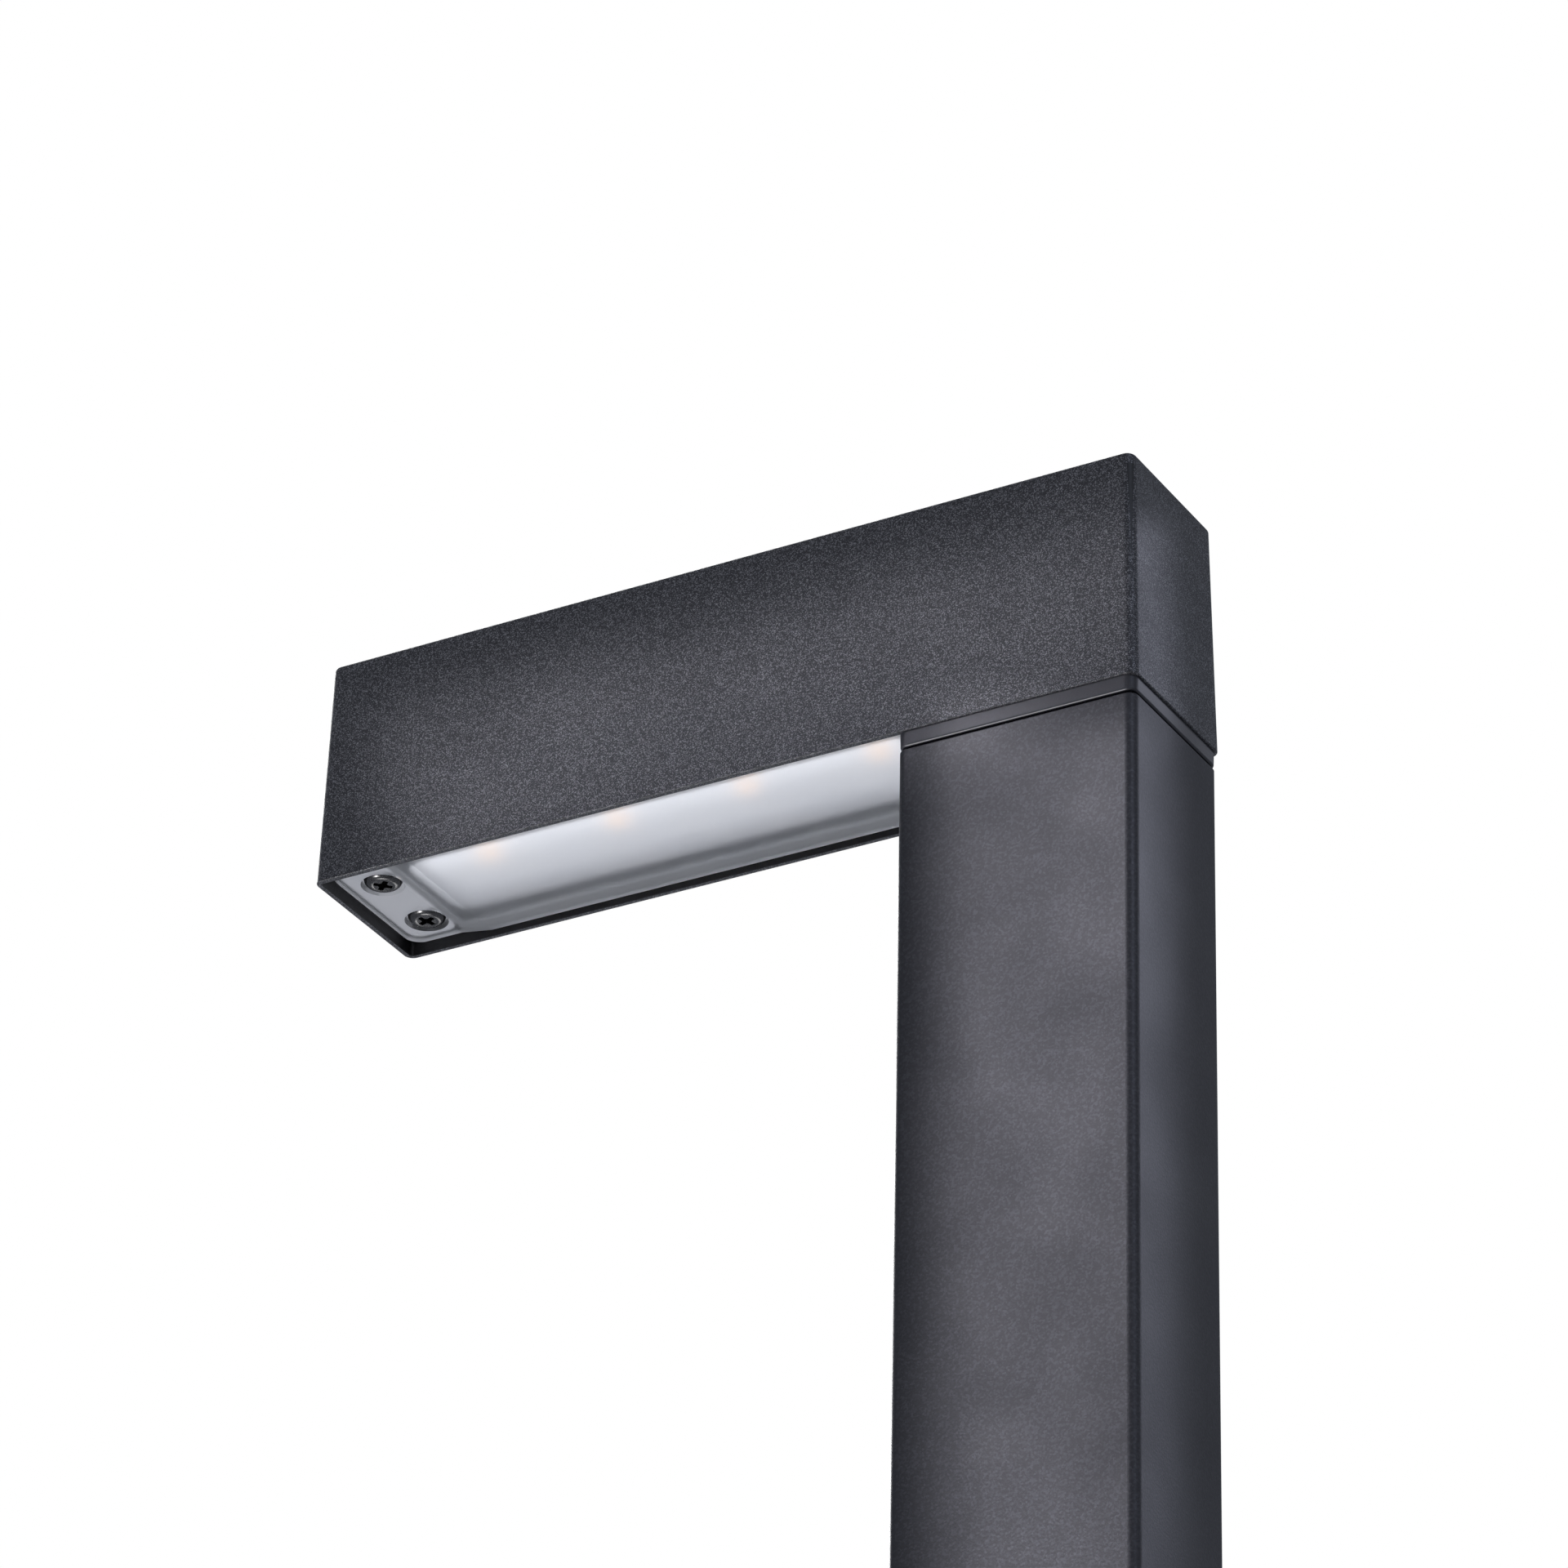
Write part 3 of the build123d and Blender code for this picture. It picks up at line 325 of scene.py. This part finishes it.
def make_materials():
    """The material of each slot in the record."""
    return {
        "anthracite_coat": powder_coat(
            "anthracite_on_casting", (0.0155, 0.0152, 0.0188), grain=0.17 * MM, depth=0.05 * MM,
            sparkle=0.22, fleck_start=0.6, hollow=casting_hollow),
        "frosted_lens": frosted_lens("frosted_polycarbonate"),
        "seal_rubber": moulded("silicone_seal", (0.025, 0.025, 0.027), 0.6),
        # Painted glow: the white silicone is no lamp but glows.
        "cushion_silicone": moulded(
            "white_silicone", (0.8, 0.8, 0.82), 0.55, shade=0.94,
            Emission_Color=painted_glow_color, Emission_Strength=0.15),
        "screw_steel": metal("dark_stainless", (0.11, 0.108, 0.108), 0.22, streak=(1, 1, 0.2)),
        # Painted glow on the tray's floor, brighter on the near side, and painted shade on its rim.
        "reflector_white": tray_with_painted_glow("reflector_white", near_painted_glow=1.18, far_painted_glow=0.62),
        # Painted glow: the white board is no lamp but glows.
        "board_white": moulded(
            "white_solder_mask", (0.86, 0.87, 0.89), 0.45, shade=0.96,
            Emission_Color=painted_glow_color, Emission_Strength=0.45),
        "led_phosphor": moulded(
            "led_phosphor", (0.9, 0.55, 0.25), 0.4, grain=0.2 * MM, shade=0.9,
            Emission_Color=(1, 0.73, 0.55), Emission_Strength=1.4),
        "thermal_grey": moulded("thermal_pad", (0.4, 0.41, 0.44), 0.8),
        "bare_aluminium": metal("rolled_aluminium", (0.78, 0.79, 0.81), 0.34, streak=(0.05, 1, 1)),
        "driver_plastic": moulded("driver_plastic", (0.74, 0.74, 0.71), 0.5),
        "circuit_green": moulded("green_solder_mask", (0.02, 0.16, 0.06), 0.35),
        "ferrite_black": moulded("ferrite", (0.05, 0.05, 0.055), 0.55),
        "capacitor_sleeve": moulded("capacitor_sleeve", (0.04, 0.05, 0.1), 0.3),
        "terminal_white": moulded("terminal_polyamide", (0.8, 0.8, 0.76), 0.45),
        "gland_black": moulded("gland_polyamide", (0.03, 0.03, 0.034), 0.5),
        "box_grey": moulded("box_polycarbonate", (0.32, 0.34, 0.36), 0.5),
        "cable_sheath": moulded("cable_sheath", (0.022, 0.022, 0.024), 0.6),
        "core_insulation": moulded("core_insulation", (0.26, 0.11, 0.05), 0.4),
        "earth_insulation": moulded("earth_insulation", (0.25, 0.5, 0.06), 0.4),
        "zinc_steel": metal("zinc_plate", (0.6, 0.62, 0.66), 0.32, streak=(1, 1, 0.1)),
    }


def make_special_materials():
    """Materials for single pieces that differ from the rest of their slot."""
    anthracite = (0.02, 0.0195, 0.0245)
    return {
        "post": powder_coat(
            "anthracite_on_extrusion", anthracite, grain=0.4 * MM, depth=0.03 * MM, sparkle=0.045),
        "neck": powder_coat(
            "anthracite_collar", anthracite, grain=0.3 * MM, depth=0.01 * MM, sparkle=0.03,
            worn_level=post_high.z + post_groove),
        # Painted glow: the gasket is no lamp but glows faintly.
        "lens_gasket": moulded(
            "gasket_silicone", (0.7, 0.71, 0.73), 0.55, Emission_Color=painted_glow_color, Emission_Strength=0.07),
    }


materials = make_materials()
special = make_special_materials()
for row in frame["record"]["subparts"]:
    shown = nodes[row["node"]]
    shown.data.materials.clear()
    shown.data.materials.append(special.get(row["node"], materials[row["material_slot"]]))


# ---------------------------------------------------------------------- stage

def lay_floor():
    """Plain pale paper that the camera sees and that throws no light back on the object."""
    bpy.ops.mesh.primitive_grid_add(x_subdivisions=2, y_subdivisions=2, size=2 * floor_half)
    floor = bpy.context.object
    floor.name = "studio_floor"
    paper = Tree("pale_floor")
    cloud = paper.spread(paper.noise(0.4), *middle_noise)
    paper.shader(
        paper.mix(cloud, (0.8, 0.8, 0.8), (0.83, 0.83, 0.83)),
        0.8,
        paper.bump(paper.noise(2 * MM), 0.05 * MM),
        Emission_Color=(0.95, 0.98, 1),
        Emission_Strength=floor_glow,
    )
    floor.data.materials.append(paper.material)
    floor.visible_diffuse = False
    floor.visible_glossy = False
    floor.visible_transmission = False


def fill_sky():
    """White behind the object for the camera, and a dimmer bluish light from all around for the rest."""
    world = bpy.data.worlds.new("studio")
    bpy.context.scene.world = world
    world.use_nodes = True
    sky = world.node_tree.nodes
    sky.clear()
    seen = sky.new("ShaderNodeBackground")
    seen.inputs["Color"].default_value = (*white, 1)
    ambient = sky.new("ShaderNodeBackground")
    ambient.inputs["Color"].default_value = ambient_color
    ambient.inputs["Strength"].default_value = ambient_strength
    path = sky.new("ShaderNodeLightPath")
    choose = sky.new("ShaderNodeMixShader")
    sky_out = sky.new("ShaderNodeOutputWorld")
    join = world.node_tree.links.new
    join(path.outputs["Is Camera Ray"], choose.inputs["Fac"])
    join(ambient.outputs["Background"], choose.inputs[1])
    join(seen.outputs["Background"], choose.inputs[2])
    join(choose.outputs["Shader"], sky_out.inputs["Surface"])


# --------------------------------------------------------------------- camera

def place_camera():
    """Aims at a point near the head's near lower corner, from the direction of azimuth and elevation."""
    aim = Vector((head_high.x, head_low.y, head_low.z)) + aim_from_head_corner
    azimuth, elevation = radians(camera_azimuth), radians(camera_elevation)
    back = Vector((sin(azimuth) * cos(elevation), -cos(azimuth) * cos(elevation), sin(elevation)))
    roll = Matrix.Rotation(radians(camera_roll), 3, "Z").to_quaternion()
    data = bpy.data.cameras.new("camera")
    data.lens = camera_lens
    data.sensor_width = sensor_width
    data.clip_start = camera_clip_start
    camera = bpy.data.objects.new("camera", data)
    bpy.context.scene.collection.objects.link(camera)
    camera.rotation_mode = "QUATERNION"
    camera.rotation_quaternion = (-back).to_track_quat("-Z", "Y") @ roll
    camera.location = aim + back * camera_distance
    bpy.context.scene.camera = camera


# --------------------------------------------------------------------- lights

def place_light(name, data, lit):
    """Adds a light that the camera doesn't see and that falls only on the pieces named."""
    light = bpy.data.objects.new(name, data)
    bpy.context.scene.collection.objects.link(light)
    light.visible_camera = False
    receivers = bpy.data.collections.new(name + "_receivers")
    for node in lit:
        receivers.objects.link(nodes[node])
    light.light_linking.receiver_collection = receivers
    return light


def turn_to_face(light, toward):
    """Turns a light so that it shines from the direction given."""
    light.rotation_mode = "QUATERNION"
    light.rotation_quaternion = Vector(toward).to_track_quat("Z", "Y")


def gridded_box(name, toward, along, middle, size, blur, strength, color=white, lit=tuple(nodes)):
    """A soft box with a grid: its beam has the size given and a soft edge of blur metres at the middle."""
    data = bpy.data.lights.new(name, "AREA")
    data.shape = "RECTANGLE"
    data.size, data.size_y = size
    data.spread = 2 * atan(blur / box_distance)
    data.energy = strength * size[0] * size[1]
    data.color = color
    z_axis = Vector(toward).normalized()
    y_axis = (Vector(along) - z_axis * z_axis.dot(Vector(along))).normalized()
    x_axis = y_axis.cross(z_axis)
    turn = Matrix((x_axis, y_axis, z_axis)).transposed()
    light = place_light(name, data, lit)
    light.matrix_world = Matrix.Translation(middle + z_axis * box_distance) @ turn.to_4x4()


def small_light(name, toward, energy, lit, color=white):
    """A small square light near the head, for the shine on an edge or on a few pieces."""
    data = bpy.data.lights.new(name, "AREA")
    data.size = small_light_size
    data.energy = energy
    data.color = color
    light = place_light(name, data, lit)
    middle = Vector((0, post_low.y, head_low.z))
    light.location = middle + Vector(toward).normalized() * small_light_distance
    turn_to_face(light, toward)


def daylight():
    """Soft daylight from high behind, for the floor and the sides that the camera doesn't see."""
    data = bpy.data.lights.new("back_light", "SUN")
    data.energy = daylight_energy
    data.angle = radians(daylight_angle)
    light = bpy.data.objects.new("back_light", data)
    bpy.context.scene.collection.objects.link(light)
    turn_to_face(light, back_direction)


def light_object():
    """Beams that draw the soft gradients of each face, and small lights for edges and single pieces."""
    beam_right = head_high.x + beam_past_end
    beam_low, beam_high = head_low.z - beam_past_head_foot, head_high.z - beam_below_head_top

    # Along the head's long side, short of its top.
    head_left = head_low.x + head_beam_inset
    gridded_box(
        "head_beam", front_direction, (1, 0, 0),
        Vector(((head_left + beam_right) / 2, head_low.y, (beam_low + beam_high) / 2)),
        ((beam_high - beam_low) * height_seen, (beam_right - head_left) * front_width_seen),
        blur=16 * MM, strength=0.5, color=front_color,
    )
    # Down the post's front, from the floor to the head's lower edge.
    post_left = post_low.x + post_beam_inset
    gridded_box(
        "post_beam", front_direction, (0, 0, 1),
        Vector(((post_left + beam_right) / 2, post_low.y, beam_low / 2)),
        ((beam_right - post_left) * front_width_seen, beam_low * height_seen),
        blur=15 * MM, strength=1.0, color=front_color,
    )
    # Up the near half of the end face of post and head.
    end_near, end_far = head_low.y - end_beam_past_corner, 0.0
    gridded_box(
        "end_beam", side_direction, (0, 0, 1),
        Vector((head_high.x, (end_near + end_far) / 2, beam_high / 2)),
        ((end_far - end_near) * end_width_seen, beam_high * height_seen),
        blur=10 * MM, strength=0.165, color=side_color,
    )
    # From below, as from a white ground, on all but the post and the flange.
    gridded_box(
        "ground_bounce", bounce_direction, (1, 0, 0),
        Vector((head_low.x + bounce_from_free_end, 0, head_low.z)), (0.3, 0.3),
        blur=120 * MM, strength=0.4,
        lit=[node for node in nodes if node not in ("post", "ground_flange")],
    )

    # Low lights for the lower edges and the screws' recesses, high ones for the collar's end and the corner.
    small_light("edge_light", low_edge_direction, energy=4, lit=("head_housing", "lens_screws"))
    small_light("collar_light", low_edge_direction, energy=7, lit=("neck",))
    small_light("screw_light", screw_direction, energy=0.4, lit=("lens_screws",))
    small_light("collar_end_light", side_direction, energy=0.2, lit=("neck",), color=collar_end_color)
    small_light("corner_light", corner_direction, energy=0.7, lit=("head_housing", "neck", "post"),
                color=corner_color)


lay_floor()
place_camera()
light_object()
daylight()
fill_sky()
bpy.context.scene.view_settings.view_transform = "Standard"
